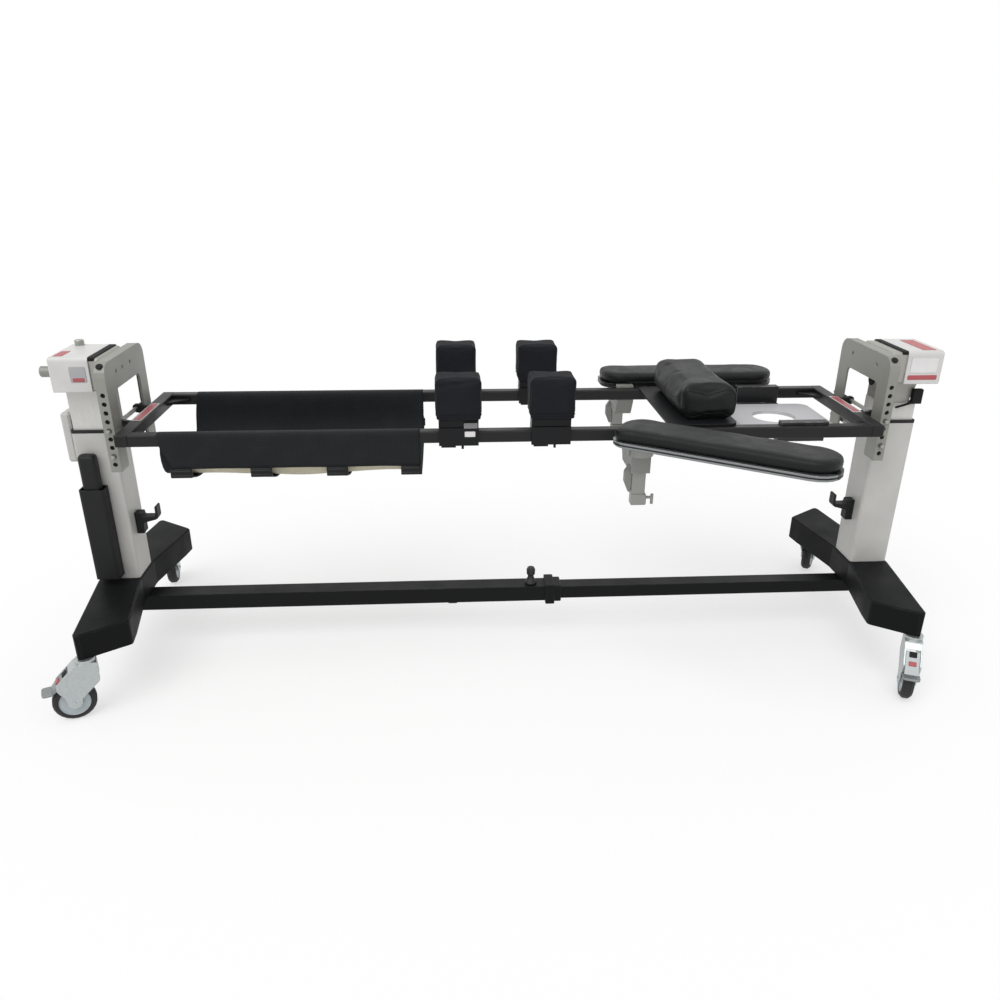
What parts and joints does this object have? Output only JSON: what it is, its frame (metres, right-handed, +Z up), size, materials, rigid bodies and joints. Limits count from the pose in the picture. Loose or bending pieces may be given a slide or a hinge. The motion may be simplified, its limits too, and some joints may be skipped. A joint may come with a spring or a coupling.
{
  "type": "spine operating table",
  "caption": "Open-frame spine operating table: lifting columns on a castered telescoping base carry a rolling patient frame with pads, leg sling, head plate and swinging arm boards.",
  "frame": {"origin": "on the floor under the middle of the bounding box", "axes": "+X along the table from the foot end to the head end, +Y across it to the far side, +Z up"},
  "size_m": [2.477, 1.0702, 0.912],
  "materials": {
    "foot_coat": "black powder coat on a casting",
    "head_alloy": "grey painted casting",
    "casing_plastic": "white moulded",
    "yoke_paint": "warm grey paint",
    "bare_steel": "turned",
    "beam_coat": "black powder coat",
    "black_plastic": "moulded",
    "column_paint": "light grey paint",
    "inner_column": "satin anodised",
    "pendant_plastic": "moulded",
    "frame_coat": "black coat",
    "sling_cloth": "woven",
    "clamp_alloy": "black anodised",
    "pad_cover": "coated cloth over foam",
    "board_composite": "black laminate",
    "cushion_leather": "leathercloth over foam",
    "head_plate_alloy": "light grey satin",
    "zinc_plate": "zinc plated",
    "arm_board_alloy": "silver extrusion",
    "caster_tyre": "black rubber on a grey hub",
    "pedal_plastic": "grey moulded"
  },
  "bodies": {
    "base": {"left_foot": "foot_coat", "right_foot": "foot_coat", "beam_outer_tube": "beam_coat", "beam_inner_tube": "beam_coat", "left_outer_column": "column_paint", "right_outer_column": "column_paint", "left_actuator": "bare_steel", "right_actuator": "bare_steel", "left_hook": "black_plastic", "right_hook": "black_plastic", "motor_cover": "casing_plastic", "pendant_holster": "black_plastic"},
    "beam_lock": {"beam_lock_knob": "black_plastic"},
    "hand_pendant": {"hand_pendant": "pendant_plastic"},
    "left_lift": {"left_inner_column": "inner_column", "left_head_block": "head_alloy", "left_head_casing": "casing_plastic"},
    "right_lift": {"right_inner_column": "inner_column", "right_head_block": "head_alloy", "right_head_casing": "casing_plastic"},
    "table_top": {"left_yoke": "yoke_paint", "left_upper_pin": "bare_steel", "left_lower_pin": "bare_steel", "near_rail": "frame_coat", "far_rail": "frame_coat", "foot_crossbar": "frame_coat", "head_crossbar": "frame_coat", "leg_sling": "sling_cloth", "near_arm_clamp": "zinc_plate", "far_arm_clamp": "zinc_plate"},
    "right_roll": {"right_yoke": "yoke_paint", "right_upper_pin": "bare_steel", "right_lower_pin": "bare_steel"},
    "chest_support": {"chest_pad": "cushion_leather", "chest_board": "board_composite"},
    "head_support": {"head_plate": "head_plate_alloy"},
    "near_thigh_support": {"near_thigh_clamp": "clamp_alloy", "near_thigh_pad": "pad_cover"},
    "near_hip_support": {"near_hip_clamp": "clamp_alloy", "near_hip_pad": "pad_cover"},
    "near_arm_post": {"near_arm_post": "bare_steel"},
    "near_arm_board": {"near_arm_board": "arm_board_alloy", "near_arm_pad": "cushion_leather"},
    "far_thigh_support": {"far_thigh_clamp": "clamp_alloy", "far_thigh_pad": "pad_cover"},
    "far_hip_support": {"far_hip_clamp": "clamp_alloy", "far_hip_pad": "pad_cover"},
    "far_arm_post": {"far_arm_post": "bare_steel"},
    "far_arm_board": {"far_arm_board": "arm_board_alloy", "far_arm_pad": "cushion_leather"},
    "front_left_swivel": {"front_left_fork": "zinc_plate"},
    "front_left_wheel": {"front_left_wheel": "caster_tyre"},
    "front_left_brake": {"front_left_brake_pedal": "pedal_plastic"},
    "front_right_swivel": {"front_right_fork": "zinc_plate"},
    "front_right_wheel": {"front_right_wheel": "caster_tyre"},
    "front_right_brake": {"front_right_brake_pedal": "pedal_plastic"},
    "rear_left_swivel": {"rear_left_fork": "zinc_plate"},
    "rear_left_wheel": {"rear_left_wheel": "caster_tyre"},
    "rear_right_swivel": {"rear_right_fork": "zinc_plate"},
    "rear_right_wheel": {"rear_right_wheel": "caster_tyre"}
  },
  "joints": [
    {"name": "left_lift_slide", "type": "slide", "parent": "base", "child": "left_lift", "axis": [0, 0, 1], "range_m": [-0.045, 0.33]},
    {"name": "right_lift_slide", "type": "slide", "parent": "base", "child": "right_lift", "axis": [0, 0, 1], "range_m": [-0.045, 0.33]},
    {"name": "left_roll", "type": "hinge", "parent": "left_lift", "child": "table_top", "pos_m": [-1.0405, 0.07015, 0.855], "axis": [1, 0, 0], "range_deg": [-180, 180]},
    {"name": "right_roll", "type": "hinge", "parent": "right_lift", "child": "right_roll", "pos_m": [1.0835, 0.07015, 0.855], "axis": [1, 0, 0], "range_deg": [-180, 180]},
    {"name": "beam_lock_turn", "type": "hinge", "parent": "base", "child": "beam_lock", "pos_m": [0.1095, 0.07015, 0.1752], "axis": [0, 0, 1], "continuous": true},
    {"name": "pendant_lift_out", "type": "slide", "parent": "base", "child": "hand_pendant", "axis": [0, 0, 1], "range_m": [0, 0.12]},
    {"name": "chest_slide", "type": "slide", "parent": "table_top", "child": "chest_support", "axis": [1, 0, 0], "range_m": [-0.12, 0.05]},
    {"name": "head_slide", "type": "slide", "parent": "table_top", "child": "head_support", "axis": [1, 0, 0], "range_m": [-0.035, 0.045]},
    {"name": "near_thigh_slide", "type": "slide", "parent": "table_top", "child": "near_thigh_support", "axis": [1, 0, 0], "range_m": [-0.03, 0.05]},
    {"name": "near_hip_slide", "type": "slide", "parent": "table_top", "child": "near_hip_support", "axis": [1, 0, 0], "range_m": [-0.05, 0.07]},
    {"name": "near_arm_height", "type": "slide", "parent": "table_top", "child": "near_arm_post", "axis": [0, 0, 1], "range_m": [0, 0.055]},
    {"name": "near_arm_swing", "type": "hinge", "parent": "near_arm_post", "child": "near_arm_board", "pos_m": [0.3515, -0.23685, 0.729], "axis": [0, 0, 1], "range_deg": [-55, 33]},
    {"name": "far_thigh_slide", "type": "slide", "parent": "table_top", "child": "far_thigh_support", "axis": [1, 0, 0], "range_m": [-0.03, 0.05]},
    {"name": "far_hip_slide", "type": "slide", "parent": "table_top", "child": "far_hip_support", "axis": [1, 0, 0], "range_m": [-0.05, 0.07]},
    {"name": "far_arm_height", "type": "slide", "parent": "table_top", "child": "far_arm_post", "axis": [0, 0, 1], "range_m": [0, 0.055]},
    {"name": "far_arm_swing", "type": "hinge", "parent": "far_arm_post", "child": "far_arm_board", "pos_m": [0.412, 0.37715, 0.729], "axis": [0, 0, 1], "range_deg": [0, 90]},
    {"name": "front_left_swivel", "type": "hinge", "parent": "base", "child": "front_left_swivel", "pos_m": [-1.114, -0.29585, 0.1755], "axis": [0, 0, 1], "continuous": true},
    {"name": "front_left_spin", "type": "hinge", "parent": "front_left_swivel", "child": "front_left_wheel", "pos_m": [-1.1545, -0.31304, 0.055], "axis": [0.3907, -0.9205, 0], "continuous": true},
    {"name": "front_left_brake_press", "type": "hinge", "parent": "front_left_swivel", "child": "front_left_brake", "pos_m": [-1.18212, -0.32476, 0.112], "axis": [0.3907, -0.9205, 0], "range_deg": [0, 7]},
    {"name": "front_right_swivel", "type": "hinge", "parent": "base", "child": "front_right_swivel", "pos_m": [1.157, -0.29585, 0.1755], "axis": [0, 0, 1], "continuous": true},
    {"name": "front_right_spin", "type": "hinge", "parent": "front_right_swivel", "child": "front_right_wheel", "pos_m": [1.13981, -0.33635, 0.055], "axis": [0.9205, -0.3907, 0], "continuous": true},
    {"name": "front_right_brake_press", "type": "hinge", "parent": "front_right_swivel", "child": "front_right_brake", "pos_m": [1.12809, -0.36396, 0.112], "axis": [0.9205, -0.3907, 0], "range_deg": [0, 7]},
    {"name": "rear_left_swivel", "type": "hinge", "parent": "base", "child": "rear_left_swivel", "pos_m": [-1.114, 0.43615, 0.1755], "axis": [0, 0, 1], "continuous": true},
    {"name": "rear_left_spin", "type": "hinge", "parent": "rear_left_swivel", "child": "rear_left_wheel", "pos_m": [-1.12088, 0.47961, 0.055], "axis": [-0.9877, -0.1564, 0], "continuous": true},
    {"name": "rear_right_swivel", "type": "hinge", "parent": "base", "child": "rear_right_swivel", "pos_m": [1.157, 0.43615, 0.1755], "axis": [0, 0, 1], "continuous": true},
    {"name": "rear_right_spin", "type": "hinge", "parent": "rear_right_swivel", "child": "rear_right_wheel", "pos_m": [1.18096, 0.47306, 0.055], "axis": [-0.8387, 0.5446, 0], "continuous": true}
  ],
  "couplings": [
    {"joint": "right_lift_slide", "follows": "left_lift_slide", "ratio": 1},
    {"joint": "right_roll", "follows": "left_roll", "ratio": 1}
  ]
}
